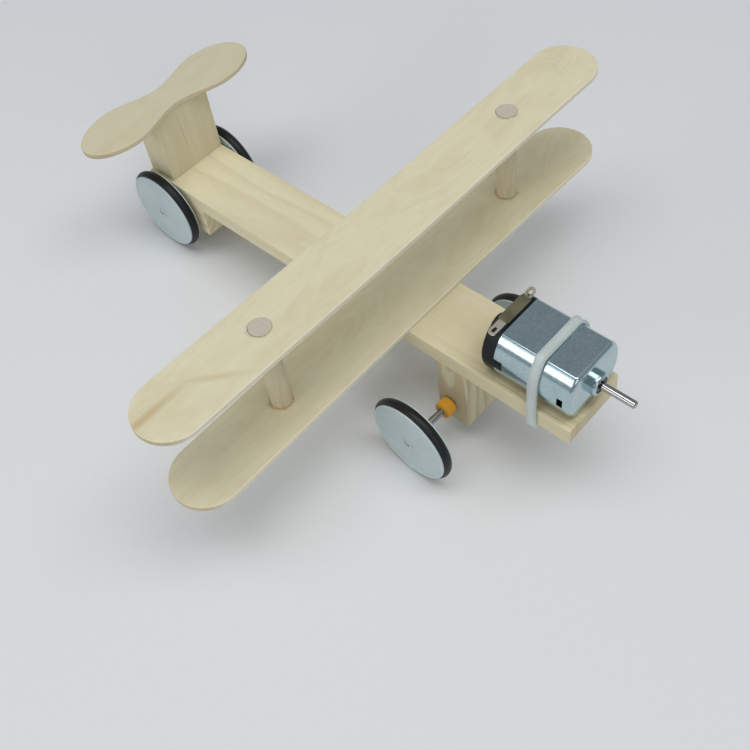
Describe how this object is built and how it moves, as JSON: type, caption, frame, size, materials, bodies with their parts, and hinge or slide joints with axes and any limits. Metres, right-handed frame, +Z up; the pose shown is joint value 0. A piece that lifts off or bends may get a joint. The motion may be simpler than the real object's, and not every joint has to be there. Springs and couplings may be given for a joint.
{
  "type": "motorised wooden taxiing biplane model",
  "caption": "Wooden model biplane that rolls on four wheels, with round-ended wings on dowels, a block tail and a small can motor tied to its nose for a propeller.",
  "frame": {"origin": "middle of the whole model in plan, on the surface that its four tyres stand on", "axes": "+X towards the nose, +Y to the model's left, +Z up; the plank itself slopes up to the nose by 5.2 degrees"},
  "size_m": [0.1658, 0.1574, 0.0611],
  "materials": {
    "birch_ply": "sanded, unfinished",
    "pine": "sanded, unfinished",
    "dowel_wood": "sanded, unfinished",
    "wheel_plastic": "satin, slightly milky",
    "tyre_rubber": "smooth rubber",
    "axle_steel": "drawn wire",
    "collar_plastic": "moulded",
    "can_steel": "bright plating",
    "bell_plastic": "moulded",
    "shaft_steel": "ground",
    "core_steel": "laminated",
    "winding_copper": "enamelled wire",
    "segment_copper": "turned",
    "sleeve_plastic": "moulded",
    "ferrite": "sintered",
    "spring_steel": "drawn wire",
    "bush_bronze": "oiled, sintered",
    "terminal_brass": "pressed",
    "strip_board": "varnished",
    "washer_fibre": "punched",
    "tie_nylon": "milky nylon"
  },
  "bodies": {
    "airframe": {"fuselage_plank": "pine", "tail_fin_block": "pine", "front_axle_block": "pine", "rear_axle_block": "pine", "lower_wing": "birch_ply", "upper_wing": "birch_ply", "tailplane": "birch_ply", "wing_strut_left": "dowel_wood", "wing_strut_right": "dowel_wood", "magnet_left": "ferrite", "brush_left": "segment_copper", "terminal_left": "terminal_brass", "magnet_right": "ferrite", "brush_right": "segment_copper", "terminal_right": "terminal_brass", "motor_can": "can_steel", "motor_end_bell": "bell_plastic", "front_bush": "bush_bronze", "rear_bush": "bush_bronze", "magnet_clip": "spring_steel", "insulating_strip": "strip_board", "cable_tie": "tie_nylon"},
    "motor_rotor": {"motor_shaft": "shaft_steel", "armature_core": "core_steel", "armature_windings": "winding_copper", "commutator_sleeve": "sleeve_plastic", "commutator_segments": "segment_copper", "thrust_washers": "washer_fibre"},
    "front_wheelset": {"front_axle": "axle_steel", "wheel_disc_front_left": "wheel_plastic", "wheel_disc_front_right": "wheel_plastic", "tyre_front_left": "tyre_rubber", "tyre_front_right": "tyre_rubber", "axle_collar_left": "collar_plastic", "axle_collar_right": "collar_plastic"},
    "rear_wheelset": {"rear_axle": "axle_steel", "wheel_disc_rear_left": "wheel_plastic", "wheel_disc_rear_right": "wheel_plastic", "tyre_rear_left": "tyre_rubber", "tyre_rear_right": "tyre_rubber"}
  },
  "joints": [
    {"name": "motor_shaft_spin", "type": "hinge", "parent": "airframe", "child": "motor_rotor", "pos_m": [0.07291, 0.00345, 0.0437], "axis": [0.9958, 0, 0.0912], "continuous": true},
    {"name": "front_axle_spin", "type": "hinge", "parent": "airframe", "child": "front_wheelset", "pos_m": [0.03977, 0.0031, 0.013], "axis": [0.0436, 0.999, 0], "continuous": true},
    {"name": "rear_axle_spin", "type": "hinge", "parent": "airframe", "child": "rear_wheelset", "pos_m": [-0.06989, 0.0031, 0.013], "axis": [0, 1, 0], "continuous": true}
  ]
}
